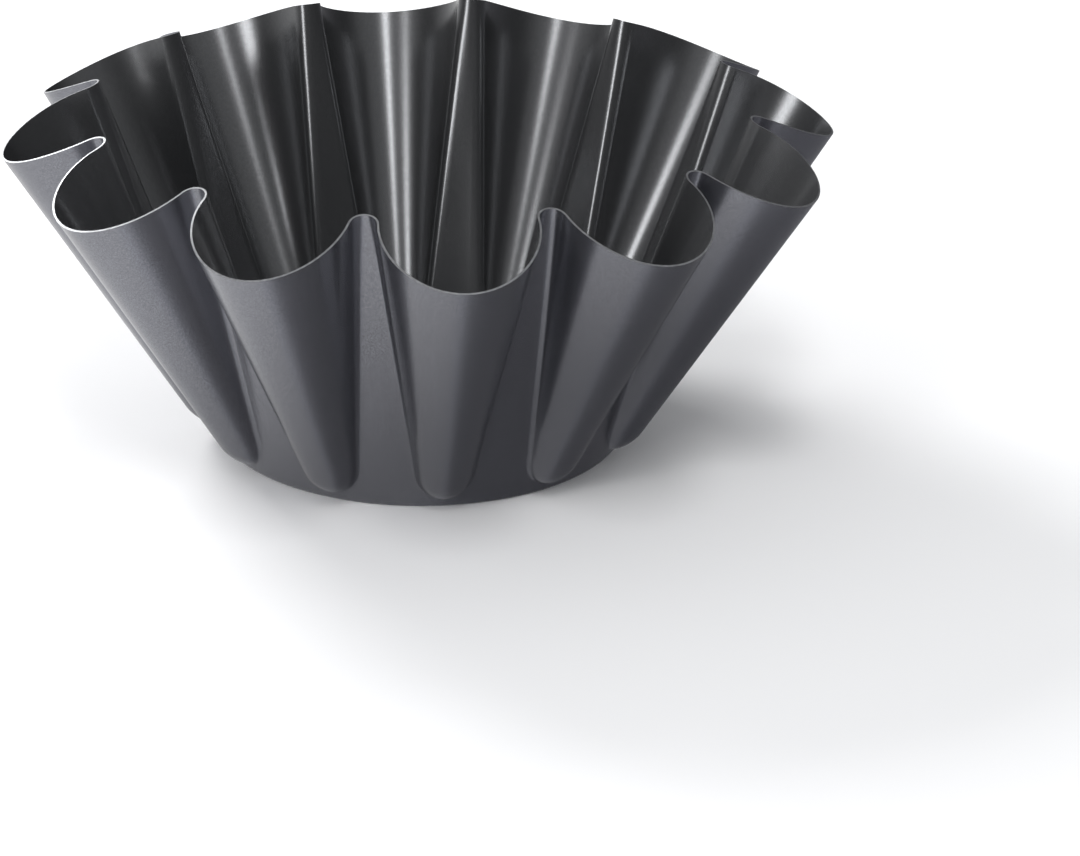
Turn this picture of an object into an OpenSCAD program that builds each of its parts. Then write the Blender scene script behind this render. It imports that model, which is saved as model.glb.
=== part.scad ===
// Fluted brioche mould, pressed from one round blank of sheet steel.
// Model frame: origin at the centre of the underside, +Z up, first flute crest on +X. Sizes in mm.

/* [Overall size] */
// Width across the flute crests at the rim
top_across = 220; // [200:1:250]
// Width of the flat base, to where the wall would meet the table
base_across = 109; // [96:1:120]
// Distance from the base edge to the rim measured along the sheet, the same all round
slant = 98.2; // [85:0.1:115]
// Number of flutes round the mould
flutes = 12; // [10:1:14]

/* [Flutes at the rim] */
// Depth of a flute at the rim, from its crest in to the ridge beside it
flute_depth = 22.9; // [18:0.1:26]
// Outside bend radius of a ridge at the rim
ridge_bend = 3.4; // [2.5:0.1:4]

/* [Toes of the flutes] */
// Height of the lowest point of a flute above the table
toe_height = 3; // [2.5:0.1:5]
// How far outside the base edge the line of a flute crest would meet the table
toe_reach = 3.8; // [3:0.1:5]
// Width of the rounded lower end of a flute
toe_width = 15.6; // [13:0.1:17]
// Height over which that rounded end reaches its width
toe_rise = 8; // [7:0.1:10]
// Height of the rounding under the crest at the toe
toe_round = 5.5; // [4:0.1:6.5]
// Radius of the crease beside the toe
crease_bend = 1.6; // [1:0.1:2]

/* [Base] */
// Radius of the bend between the base and the wall, on the outside
base_bend = 1.5; // [1.2:0.1:3]

/* [Sheet] */
// Thickness of the sheet steel with its outside finish
steel = 0.5; // [0.4:0.05:0.8]
// Thickness of the non-stick lining on the inside
lining = 0.04; // [0.03:0.01:0.1]

/* [Hidden] */

// steps of the mesh over half a flute: crest arc, crease arc, strip between flutes
arc_steps = 6;
crease_steps = 3;
strip_steps = 1;
// steps of the mesh up the toe and up the straight wall above it
toe_steps = 4;
wall_steps = 2;
// steps round the plain base ring, for each flute
ring_steps = 4;

half_steps = arc_steps + crease_steps + strip_steps;
around = 2 * half_steps * flutes;
ring = ring_steps * flutes;
half_pitch = 180 / flutes;

base_r = base_across / 2;
crest_r = top_across / 2;
ridge_r = crest_r - flute_depth;
// the blank is round, so every point of the rim is the same distance along the sheet from the base edge
function rim_z(r) = sqrt(slant * slant - (r - base_r) * (r - base_r));
crest_z = rim_z(crest_r);
ridge_z = rim_z(ridge_r);
// slopes, in mm outward per mm of height
cone_slope = (ridge_r - base_r) / ridge_z;
crest_slope = (crest_r - base_r - toe_reach) / crest_z;
flare = (ridge_r * sin(half_pitch) - toe_width / 2) / (ridge_z - toe_height);
// angle of the plain cone from the table
cone_angle = atan2(1, cone_slope);
// the toe ends here and the wall runs straight to the rim
toe_top = toe_height + max(toe_rise, toe_round) + 1;

function cone_r(z) = base_r + cone_slope * z;
// a quarter round that rises from 0 to 1 as t goes from 0 to rise
function quarter(t, rise) = sqrt(1 - pow(max(0, 1 - t / rise), 2));
// how far the crest stands out from the cone
function crest_out(z) = (base_r + toe_reach + crest_slope * z - cone_r(z)) * quarter(z - toe_height, toe_round);
function half_width(z) = toe_width / 2 * quarter(z - toe_height, toe_rise) + flare * (z - toe_height);
function crease_at(z) = crease_bend * min(1, crest_out(z) / (4 * crease_bend));

// radius of the flute arc that touches the crease arc: cone radius rc, crest radius rk, crease at angle a, bend b
function arc_r(rc, rk, a, b) =
    (pow(rc + b, 2) + rk * rk - b * b - 2 * (rc + b) * rk * cos(a)) / (2 * (rk + b - (rc + b) * cos(a)));

// one point of the half section, i steps from the crest; the strip has no width of its own at the rim
function half_point(i, rc, rk, a, b, at_rim) =
    let (
        r = arc_r(rc, rk, a, b),
        c = rk - r,
        mid = [(rc + b) * cos(a), (rc + b) * sin(a)],
        turn = atan2(mid[1], mid[0] - c),
        bend_steps = at_rim ? crease_steps + strip_steps : crease_steps,
        j = i - arc_steps
    )
    i <= arc_steps ? [c + r * cos(turn * i / arc_steps), r * sin(turn * i / arc_steps)] :
    j <= bend_steps ?
        let (w = turn + 180 + (a - turn) * j / bend_steps) [mid[0] + b * cos(w), mid[1] + b * sin(w)] :
        let (w = a + (half_pitch - a) * (j - bend_steps) / strip_steps) [rc * cos(w), rc * sin(w)];

function spin(p, a, z) = [p[0] * cos(a) - p[1] * sin(a), p[0] * sin(a) + p[1] * cos(a), z];

// a point of the full section: k counts round the whole mould, from the first crest
function section_point(k, rc, rk, a, b, at_rim) =
    let (
        f = floor((k + half_steps) / (2 * half_steps)),
        i = k - f * 2 * half_steps,
        p = half_point(abs(i), rc, rk, a, b, at_rim)
    )
    spin([p[0], i < 0 ? -p[1] : p[1]], f * 2 * half_pitch, 0);

// the toe rows, planar; the lowest is the plain cone with its points under those of the row above
function toe_z(u) = toe_height + (toe_top - toe_height) * (1 - cos(90 * u / toe_steps));
function toe_row(u) =
    let (
        z = toe_z(max(u, 1)),
        rc = cone_r(z),
        b = crease_at(z),
        a = asin(half_width(z) / (rc + b))
    )
    [for (k = [0 : around - 1])
        let (p = section_point(k, rc, rc + crest_out(z), a, b, false), w = atan2(p[1], p[0]))
        u >= 1 ? [p[0], p[1], z] : [cone_r(toe_z(0)) * cos(w), cone_r(toe_z(0)) * sin(w), toe_z(0)]];

rim_row = [for (k = [0 : around - 1])
    let (p = section_point(k, ridge_r, crest_r, half_pitch, ridge_bend, true), r = sqrt(p[0] * p[0] + p[1] * p[1]))
    [p[0], p[1], rim_z(r)]];
toe_rows = [for (u = [0 : toe_steps]) toe_row(u)];
wall_rows = [for (u = [1 : wall_steps])
    [for (k = [0 : around - 1]) toe_rows[toe_steps][k] + (rim_row[k] - toe_rows[toe_steps][k]) * u / wall_steps]];
rows = concat(toe_rows, wall_rows);
last = len(rows) - 1;

// a point below the toe, only to find the direction of the sheet there
function below(k) = rows[0][k] - [cone_slope * rows[0][k][0] / cone_r(toe_height), cone_slope * rows[0][k][1] / cone_r(toe_height), 1];
function outward(i, k) =
    let (
        along = rows[i][(k + 1) % around] - rows[i][(k + around - 1) % around],
        up = rows[min(i + 1, last)][k] - (i == 0 ? below(k) : rows[i - 1][k]),
        n = cross(along, up)
    )
    n / norm(n);

// the plain lower rings: flat edge, middle of the bend, start of the cone
bend_r = base_r - base_bend * tan(cone_angle / 2);
function low_ring(s, t) = [for (k = [0 : ring - 1])
    let (
        w = -90 + cone_angle * s / 2,
        r = bend_r + (base_bend - t) * cos(w),
        v = 360 * k / ring
    )
    [r * cos(v), r * sin(v), base_bend + (base_bend - t) * sin(w)]];

// every point of the outside face moved in by t
function face_points(t) = concat(
    low_ring(0, t), low_ring(1, t), low_ring(2, t),
    [for (i = [0 : last], k = [0 : around - 1]) rows[i][k] - outward(i, k) * t]);
face_count = 3 * ring + (last + 1) * around;

// faces of one skin, seen from below and outside; o is the number of its first point
function low(o, s, k) = o + s * ring + k % ring;
function high(o, i, k) = o + 3 * ring + i * around + k % around;
function ring_match(k) = floor((k + 0.5) * ring / around + 0.5);
function skin(o) = concat(
    [[for (k = [0 : ring - 1]) low(o, 0, k)]],
    [for (s = [0 : 1], k = [0 : ring - 1]) each [
        [low(o, s, k), low(o, s + 1, k), low(o, s + 1, k + 1)],
        [low(o, s, k), low(o, s + 1, k + 1), low(o, s, k + 1)]]],
    [for (k = [0 : around - 1]) [low(o, 2, ring_match(k)), high(o, 0, k), high(o, 0, k + 1)]],
    [for (k = [0 : around - 1]) if (ring_match(k) > ring_match(k - 1))
        [low(o, 2, ring_match(k - 1)), high(o, 0, k), low(o, 2, ring_match(k))]],
    [for (i = [0 : last - 1], k = [0 : around - 1]) each [
        [high(o, i, k), high(o, i + 1, k), high(o, i + 1, k + 1)],
        [high(o, i, k), high(o, i + 1, k + 1), high(o, i, k + 1)]]]);
function flipped(list) = [for (f = list) [for (q = [len(f) - 1 : -1 : 0]) f[q]]];
function rim_band(o, p) = [for (k = [0 : around - 1]) each [
    [high(o, last, k), high(p, last, k), high(p, last, k + 1)],
    [high(o, last, k), high(p, last, k + 1), high(o, last, k + 1)]]];

// a layer of sheet between two depths below the outside face
module layer(from, to) {
    polyhedron(
        points = concat(face_points(from), face_points(to)),
        faces = concat(skin(0), flipped(skin(face_count)), rim_band(0, face_count)),
        convexity = 10);
}

module steel_shell() {
    color("#5c5f66") layer(0, steel);
}

module nonstick_lining() {
    color("#3a3b3e") layer(steel, steel + lining);
}

steel_shell();
nonstick_lining();
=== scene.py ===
import math
import bpy
import numpy as np
from mathutils import Matrix, Vector


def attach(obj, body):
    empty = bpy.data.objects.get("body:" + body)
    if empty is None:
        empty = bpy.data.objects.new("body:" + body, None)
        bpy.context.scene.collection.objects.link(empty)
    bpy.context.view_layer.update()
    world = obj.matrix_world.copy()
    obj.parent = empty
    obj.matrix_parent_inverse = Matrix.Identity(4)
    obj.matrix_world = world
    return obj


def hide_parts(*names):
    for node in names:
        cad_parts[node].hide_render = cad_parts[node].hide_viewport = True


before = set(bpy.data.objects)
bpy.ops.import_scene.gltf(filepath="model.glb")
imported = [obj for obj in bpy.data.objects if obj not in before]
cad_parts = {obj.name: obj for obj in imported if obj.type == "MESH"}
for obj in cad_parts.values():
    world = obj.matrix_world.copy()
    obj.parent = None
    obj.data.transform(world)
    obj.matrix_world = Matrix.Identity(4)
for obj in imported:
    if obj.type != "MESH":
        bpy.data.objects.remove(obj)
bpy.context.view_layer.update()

# The mould's sizes in metres, the same as in the CAD.
MM = 0.001
FLUTES = 12
CREST_R = 110 * MM
BASE_R = 54.5 * MM
SLANT = 98.2 * MM
RIDGE_R = CREST_R - 22.9 * MM
RIDGE_BEND = 3.4 * MM
TOE_HEIGHT = 3 * MM
TOE_REACH = 3.8 * MM
TOE_WIDTH = 15.6 * MM
TOE_RISE = 8 * MM
TOE_ROUND = 5.5 * MM
TOE_TOP = 12 * MM
CREASE_BEND = 1.6 * MM
BASE_BEND = 1.5 * MM
STEEL = 0.5 * MM
LINING = 0.04 * MM

# Mesh steps over half a flute, round the base bend and up the wall.
ARC_STEPS = 16
CREASE_STEPS = 8
STRIP_STEPS = 3
HALF_STEPS = ARC_STEPS + CREASE_STEPS + STRIP_STEPS
AROUND = 2 * HALF_STEPS * FLUTES
BEND_ROWS = 6
TOE_ROWS = 22
WALL_ROWS = 26
# Where the rings of plain cone below the toes lie, as shares of the toe height.
CONE_RINGS = (0.35, 0.6, 0.85, 1)
# Share of the climb at which the toe rings start, because a toe has no width at its very bottom.
FIRST_TOE = 0.04
HALF_PITCH = math.pi / FLUTES


def rim_z(r):
    """Height of the rim at radius r: the blank is round, so the slant length is the same all round."""
    return np.sqrt(SLANT ** 2 - (r - BASE_R) ** 2)


CREST_Z = float(rim_z(CREST_R))
RIDGE_Z = float(rim_z(RIDGE_R))
# Slopes, in metres outward for each metre of height.
CONE_SLOPE = (RIDGE_R - BASE_R) / RIDGE_Z
CREST_SLOPE = (CREST_R - BASE_R - TOE_REACH) / CREST_Z
FLARE = (RIDGE_R * math.sin(HALF_PITCH) - TOE_WIDTH / 2) / (RIDGE_Z - TOE_HEIGHT)
CONE_ANGLE = math.atan2(1, CONE_SLOPE)


def quarter(t, rise):
    """A quarter round that climbs from 0 to 1 while t goes from 0 to rise."""
    return math.sqrt(1 - max(0.0, 1 - t / rise) ** 2)


def half_section(rc, rk, a, b, at_rim):
    """Half of one flute in plan, from its crest to the middle of the ridge beside it.

    An arc round the crest touches a small arc at the crease, which touches the cone of radius rc.
    At the rim the strip of cone has no width, so its steps go on round the ridge instead.
    """
    r = ((rc + b) ** 2 + rk * rk - b * b - 2 * (rc + b) * rk * math.cos(a))
    r = r / (2 * (rk + b - (rc + b) * math.cos(a)))
    c = rk - r
    mid = np.array([(rc + b) * math.cos(a), (rc + b) * math.sin(a)])
    turn = math.atan2(mid[1], mid[0] - c)
    bend_steps = CREASE_STEPS + (STRIP_STEPS if at_rim else 0)
    w = np.linspace(0, turn, ARC_STEPS + 1)
    arc = np.c_[c + r * np.cos(w), r * np.sin(w)]
    w = np.linspace(turn, a, bend_steps + 1)[1:] + math.pi
    bend = np.c_[mid[0] + b * np.cos(w), mid[1] + b * np.sin(w)]
    w = np.linspace(a, HALF_PITCH, STRIP_STEPS + 1)[1:]
    strip = np.zeros((0, 2)) if at_rim else rc * np.c_[np.cos(w), np.sin(w)]
    return np.vstack([arc, bend, strip])


def whole_ring(half):
    """The half flute mirrored and turned round the axis: one closed ring of points in plan."""
    flute = np.vstack([half[:0:-1] * (1, -1), half[:-1]])
    rings = []
    for f in range(FLUTES):
        a = 2 * HALF_PITCH * f
        turn = np.array([[math.cos(a), math.sin(a)], [-math.sin(a), math.cos(a)]])
        rings.append(flute @ turn)
    return np.vstack(rings)


def toe_ring(z):
    """The section at a height in the toe, where crest and width grow as quarter rounds."""
    rc = BASE_R + CONE_SLOPE * z
    t = z - TOE_HEIGHT
    out = (TOE_REACH + (CREST_SLOPE - CONE_SLOPE) * z) * quarter(t, TOE_ROUND)
    half_width = TOE_WIDTH / 2 * quarter(t, TOE_RISE) + FLARE * t
    b = CREASE_BEND * min(1, out / (4 * CREASE_BEND))
    ring = whole_ring(half_section(rc, rc + out, math.asin(half_width / (rc + b)), b, False))
    return np.c_[ring, np.full(AROUND, z)]


def wall_rows():
    """All rows above the base bend: plain cone, toes, then straight lines to the rim."""
    climb = 1 - np.cos(np.linspace(FIRST_TOE, 1, TOE_ROWS) * math.pi / 2)
    toes = [toe_ring(z) for z in TOE_HEIGHT + (TOE_TOP - TOE_HEIGHT) * climb]
    w = np.arctan2(toes[0][:, 1], toes[0][:, 0])
    cone = []
    for share in CONE_RINGS:
        z = share * TOE_HEIGHT
        r = BASE_R + CONE_SLOPE * z
        cone.append(np.c_[r * np.cos(w), r * np.sin(w), np.full(AROUND, z)])
    rim = whole_ring(half_section(RIDGE_R, CREST_R, HALF_PITCH, RIDGE_BEND, True))
    rim = np.c_[rim, rim_z(np.hypot(rim[:, 0], rim[:, 1]))]
    wall = [toes[-1] + (rim - toes[-1]) * u for u in np.linspace(0, 1, WALL_ROWS + 1)[1:]]
    return np.array(cone + toes + wall)


ROWS = wall_rows()


def skin(depth):
    """The outside face moved in by depth, as one grid of points.

    The wall moves along its own normals. Below it the base bend is an arc that turns from the flat
    base to the cone, and its radius shrinks by the same depth.
    """
    along = np.roll(ROWS, -1, axis=1) - np.roll(ROWS, 1, axis=1)
    up = np.gradient(ROWS, axis=0)
    n = np.cross(along, up)
    n /= np.linalg.norm(n, axis=2, keepdims=True)
    wall = ROWS - n * depth
    w = np.arctan2(ROWS[0, :, 1], ROWS[0, :, 0])
    bend_r = BASE_R - BASE_BEND * math.tan(CONE_ANGLE / 2)
    low = []
    for s in np.linspace(0, 1, BEND_ROWS):
        a = -math.pi / 2 + CONE_ANGLE * s
        r = bend_r + (BASE_BEND - depth) * math.cos(a)
        z = BASE_BEND + (BASE_BEND - depth) * math.sin(a)
        low.append(np.c_[r * np.cos(w), r * np.sin(w), np.full(AROUND, z)])
    return np.concatenate([np.array(low), wall])


def quads(first, rows):
    """Faces between neighbouring rows of a closed ring grid whose points start at first."""
    i, k = np.meshgrid(np.arange(rows - 1), np.arange(AROUND), indexing="ij")
    j = (k + 1) % AROUND
    corners = [i * AROUND + k, i * AROUND + j, (i + 1) * AROUND + j, (i + 1) * AROUND + k]
    return np.stack(corners, axis=-1).reshape(-1, 4) + first


def layer(name, start, end, edge_steps, materials):
    """A closed layer of sheet between two depths below the outside face.

    Equal bands of faces across the cut edge at the rim join its two skins, and a flat face closes
    each skin at the base. The bands have the last of the materials, and all else has the first.
    """
    outside = skin(start)
    inside = skin(end)
    rows = len(outside)
    edge = [outside[-1] + (inside[-1] - outside[-1]) * e / edge_steps for e in range(1, edge_steps)]
    points = [outside.reshape(-1, 3), inside.reshape(-1, 3)] + edge
    count = rows * AROUND
    outer = quads(0, rows)
    inner = quads(count, rows)[:, ::-1]
    k = np.arange(AROUND)
    j = (k + 1) % AROUND
    starts = [count - AROUND] + [2 * count + e * AROUND for e in range(len(edge))] + [2 * count - AROUND]
    band = [np.stack([p + k, p + j, q + j, q + k], axis=-1) for p, q in zip(starts[:-1], starts[1:])]
    underside = list(range(AROUND))[::-1]
    base_inside = list(range(count, count + AROUND))
    faces = np.concatenate([outer, inner] + band).tolist() + [underside, base_inside]
    mesh = bpy.data.meshes.new(name)
    mesh.from_pydata(np.concatenate(points).tolist(), [], faces)
    index = np.zeros(len(faces), dtype=np.int32)
    index[len(outer) + len(inner):-2] = len(materials) - 1
    mesh.polygons.foreach_set("material_index", index)
    mesh.polygons.foreach_set("use_smooth", np.ones(len(faces), dtype=bool))
    for m in materials:
        mesh.materials.append(m)
    mesh.update()
    ends = np.zeros(2 * len(mesh.edges), dtype=np.int32)
    mesh.edges.foreach_get("vertices", ends)
    rim_lines = np.isin(ends.reshape(-1, 2), np.r_[starts[0] + k, starts[-1] + k]).all(axis=1)
    sharp = mesh.attributes.new("sharp_edge", "BOOLEAN", "EDGE")
    sharp.data.foreach_set("value", rim_lines)
    piece = bpy.data.objects.new(name, mesh)
    bpy.context.collection.objects.link(piece)
    return piece


def node(tree, kind, **inputs):
    """One shader node with its inputs set by name; _ in a name stands for a space."""
    made = tree.nodes.new(kind)
    for key, value in inputs.items():
        made.inputs[key.replace("_", " ")].default_value = value
    return made


def ramp(tree, stops, curve="LINEAR"):
    """A colour ramp through pairs of a place and a colour, in rising order of place."""
    made = tree.nodes.new("ShaderNodeValToRGB")
    made.color_ramp.interpolation = curve
    elements = made.color_ramp.elements
    for e, (place, colour) in zip((elements[0], elements[1]), (stops[0], stops[-1])):
        e.position = place
        e.color = (*colour, 1)
    for place, colour in stops[1:-1]:
        elements.new(place).color = (*colour, 1)
    return made


# The slow change of gloss and the fine relief of every finish: noise scales, and the relief's height.
GLOSS_SCALE = 22.0
PEEL_SCALE = 900.0
PEEL_HEIGHT = 0.1 * MM


def coated(name, colour, fleck, metallic, rough, rough_spread, bump, fleck_scale):
    """A coated sheet finish: fine flecks in the colour, a slow change of gloss and a slight relief."""
    m = bpy.data.materials.new(name)
    m.use_nodes = True
    t = m.node_tree
    bsdf = t.nodes["Principled BSDF"]
    where = node(t, "ShaderNodeTexCoord")
    fine = node(t, "ShaderNodeTexNoise", Scale=fleck_scale, Detail=2.0, Roughness=0.6)
    slow = node(t, "ShaderNodeTexNoise", Scale=GLOSS_SCALE, Detail=4.0, Roughness=0.55)
    peel = node(t, "ShaderNodeTexNoise", Scale=PEEL_SCALE, Detail=3.0, Roughness=0.5)
    for n in (fine, slow, peel):
        t.links.new(where.outputs["Object"], n.inputs["Vector"])
    flecks = ramp(t, [(0.35, colour), (0.75, fleck)])
    t.links.new(fine.outputs["Fac"], flecks.inputs["Fac"])
    t.links.new(flecks.outputs["Color"], bsdf.inputs["Base Color"])
    gloss = node(t, "ShaderNodeMapRange", To_Min=rough - rough_spread, To_Max=rough + rough_spread)
    t.links.new(slow.outputs["Fac"], gloss.inputs["Value"])
    t.links.new(gloss.outputs["Result"], bsdf.inputs["Roughness"])
    relief = node(t, "ShaderNodeBump", Strength=bump, Distance=PEEL_HEIGHT)
    t.links.new(peel.outputs["Fac"], relief.inputs["Height"])
    t.links.new(relief.outputs["Normal"], bsdf.inputs["Normal"])
    bsdf.inputs["Metallic"].default_value = metallic
    return m


OUTSIDE = coated(
    "outside_finish", colour=(0.2, 0.203, 0.225), fleck=(0.3, 0.305, 0.335), metallic=0.9,
    rough=0.23, rough_spread=0.03, bump=0.004, fleck_scale=2600.0)
INSIDE = coated(
    "inside_nonstick", colour=(0.105, 0.107, 0.111), fleck=(0.135, 0.137, 0.142), metallic=0.85,
    rough=0.24, rough_spread=0.02, bump=0.003, fleck_scale=1800.0)
CUT_EDGE = coated(
    "cut_edge_steel", colour=(0.19, 0.193, 0.2), fleck=(0.3, 0.305, 0.315), metallic=0.85,
    rough=0.45, rough_spread=0.06, bump=0.2, fleck_scale=900.0)

shell = layer("shell_wall", 0.0, STEEL, 3, [OUTSIDE, CUT_EDGE])
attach(shell, "root")
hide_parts("steel_shell")

lining = layer("lining_skin", STEEL, STEEL + LINING, 1, [INSIDE])
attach(lining, "root")
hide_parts("nonstick_lining")

# The camera stands and looks where a fit of the rim and the base circle to the photograph puts it.
CAMERA_AT = (-0.1128, -1.0863, 0.4714)
VIEW = Vector((0.1216, 0.9097, -0.3970)).normalized()
ROLL = math.radians(0.694)
LENS = 146.3
SENSOR = 36
right = VIEW.cross(Vector((0, 0, 1))).normalized()
upward = right.cross(VIEW)
turn = Matrix((right, upward, -VIEW)).transposed() @ Matrix.Rotation(ROLL, 3, "Z")
camera = bpy.data.objects.new("camera", bpy.data.cameras.new("camera"))
camera.data.lens = LENS
camera.data.sensor_width = SENSOR
camera.data.clip_start = 0.01
camera.matrix_world = Matrix.Translation(CAMERA_AT) @ turn.to_4x4()
bpy.context.collection.objects.link(camera)
bpy.context.scene.camera = camera

# The painted shade that glossy rays see on the table: its middle, how far out it is full and where it
# ends, and how dark it gets.
SHADE_AT = (0.03, -0.02, 0)
SHADE_FULL = 0.055
SHADE_END = 0.15
SHADE_DEPTH = 0.78


def paper():
    """Matt pale paper, which only glossy rays pass through, so that the sheet reflects the room.

    A dark veil of painted shade dims those rays near the mould: a dark glow stands in for the mould's
    shadow on the table as the sheet reflects it. It thins out as a smooth step of the distance from the
    middle of the painted shade.
    """
    m = bpy.data.materials.new("paper")
    m.use_nodes = True
    t = m.node_tree
    matt = t.nodes["Principled BSDF"]
    matt.inputs["Base Color"].default_value = (0.86, 0.86, 0.865, 1)
    matt.inputs["Roughness"].default_value = 0.85
    place = node(t, "ShaderNodeTexCoord")
    off = node(t, "ShaderNodeVectorMath")
    off.operation = "DISTANCE"
    off.inputs[1].default_value = SHADE_AT
    shade = node(
        t, "ShaderNodeMapRange", From_Min=SHADE_FULL, From_Max=SHADE_END, To_Min=SHADE_DEPTH, To_Max=0.0)
    shade.interpolation_type = "SMOOTHSTEP"
    clear = node(t, "ShaderNodeBsdfTransparent")
    # Painted shade: a dark glow that the sheet reflects near the mould, in place of the table's shadow.
    dark = node(t, "ShaderNodeEmission", Color=(0.08, 0.08, 0.085, 1))
    veil = node(t, "ShaderNodeMixShader")
    seen = node(t, "ShaderNodeLightPath")
    either = node(t, "ShaderNodeMixShader")
    t.links.new(place.outputs["Object"], off.inputs[0])
    t.links.new(off.outputs["Value"], shade.inputs["Value"])
    t.links.new(shade.outputs["Result"], veil.inputs["Fac"])
    t.links.new(clear.outputs["BSDF"], veil.inputs[1])
    t.links.new(dark.outputs["Emission"], veil.inputs[2])
    t.links.new(seen.outputs["Is Glossy Ray"], either.inputs["Fac"])
    t.links.new(matt.outputs["BSDF"], either.inputs[1])
    t.links.new(veil.outputs["Shader"], either.inputs[2])
    t.links.new(either.outputs["Shader"], t.nodes["Material Output"].inputs["Surface"])
    return m


# The floor reaches this far each way, past all that the camera sees.
FLOOR = 6.0
corners = [(-FLOOR, -FLOOR, 0), (FLOOR, -FLOOR, 0), (FLOOR, FLOOR, 0), (-FLOOR, FLOOR, 0)]
floor_mesh = bpy.data.meshes.new("floor")
floor_mesh.from_pydata(corners, [], [(0, 1, 2, 3)])
floor = bpy.data.objects.new("floor", floor_mesh)
bpy.context.collection.objects.link(floor)
floor_mesh.materials.append(paper())

# The point that all soft boxes face.
MIDDLE = Vector((0, 0, 0.05))


def area(name, at, size, power):
    """A soft box at a place, with its two sides in metres and its power in watts, facing the mould."""
    lamp = bpy.data.lights.new(name, "AREA")
    lamp.shape = "RECTANGLE"
    lamp.size, lamp.size_y = size
    lamp.energy = power
    made = bpy.data.objects.new(name, lamp)
    made.location = at
    made.rotation_euler = (MIDDLE - Vector(at)).to_track_quat("-Z", "Y").to_euler()
    bpy.context.collection.objects.link(made)


area("key_left_back", at=(-0.75, 1.2, 0.85), size=(0.6, 0.6), power=24)
area("front_left", at=(-1.3, -1.2, 0.9), size=(0.5, 1.0), power=14)
area("top", at=(0.0, -0.9, 1.5), size=(0.28, 0.8), power=9)

# Sines of the ray's height over the horizon: where the upper room takes over from the lower one.
LOWER_ROOM = -0.1
UPPER_ROOM = 0.25
# How far to the side the lower room's light changes, as the sideways part of the ray's direction.
ROOM_SIDE = 0.7


def reflected_room(t):
    """The room that the glossy sheet reflects, by the direction of the ray.

    Downward rays read a ramp from a bright left to a dim right. Upward rays read a ramp of the
    height, which is dark as far as about 20 degrees and then gets lighter towards the ceiling.
    """
    room = node(t, "ShaderNodeBackground")
    heading = node(t, "ShaderNodeTexCoord")
    split = node(t, "ShaderNodeSeparateXYZ")
    across = node(t, "ShaderNodeMapRange", From_Min=-ROOM_SIDE, From_Max=ROOM_SIDE)
    side = ramp(t, [
        (0.0, (1.3, 1.32, 1.38)), (0.5, (1.0, 1.01, 1.05)),
        (0.64, (0.22, 0.22, 0.235)), (1.0, (0.2, 0.2, 0.215))], "B_SPLINE")
    height = node(t, "ShaderNodeMapRange", From_Min=LOWER_ROOM, From_Max=UPPER_ROOM)
    ceiling = ramp(t, [(0.36, (0.07, 0.071, 0.073)), (0.62, (0.5, 0.505, 0.51))], "EASE")
    above = node(t, "ShaderNodeMix")
    above.data_type = "RGBA"
    t.links.new(heading.outputs["Generated"], split.inputs["Vector"])
    t.links.new(split.outputs["X"], across.inputs["Value"])
    t.links.new(split.outputs["Z"], height.inputs["Value"])
    t.links.new(split.outputs["Z"], ceiling.inputs["Fac"])
    t.links.new(across.outputs["Result"], side.inputs["Fac"])
    t.links.new(height.outputs["Result"], above.inputs["Factor"])
    t.links.new(side.outputs["Color"], above.inputs["A"])
    t.links.new(ceiling.outputs["Color"], above.inputs["B"])
    t.links.new(above.outputs["Result"], room.inputs["Color"])
    return room


def surroundings():
    """The world: plain white for the camera, the room for glossy rays and an even fill for all others."""
    world = bpy.data.worlds.new("world")
    world.use_nodes = True
    t = world.node_tree
    fill = t.nodes["Background"]
    fill.inputs["Color"].default_value = (0.97, 0.98, 1.0, 1)
    fill.inputs["Strength"].default_value = 0.62
    white = node(t, "ShaderNodeBackground", Color=(1, 1, 1, 1))
    room = reflected_room(t)
    path = node(t, "ShaderNodeLightPath")
    glossy = node(t, "ShaderNodeMixShader")
    seen = node(t, "ShaderNodeMixShader")
    t.links.new(path.outputs["Is Glossy Ray"], glossy.inputs["Fac"])
    t.links.new(fill.outputs["Background"], glossy.inputs[1])
    t.links.new(room.outputs["Background"], glossy.inputs[2])
    t.links.new(path.outputs["Is Camera Ray"], seen.inputs["Fac"])
    t.links.new(glossy.outputs["Shader"], seen.inputs[1])
    t.links.new(white.outputs["Background"], seen.inputs[2])
    t.links.new(seen.outputs["Shader"], t.nodes["World Output"].inputs["Surface"])
    return world


bpy.context.scene.world = surroundings()
bpy.context.scene.view_settings.view_transform = "Standard"
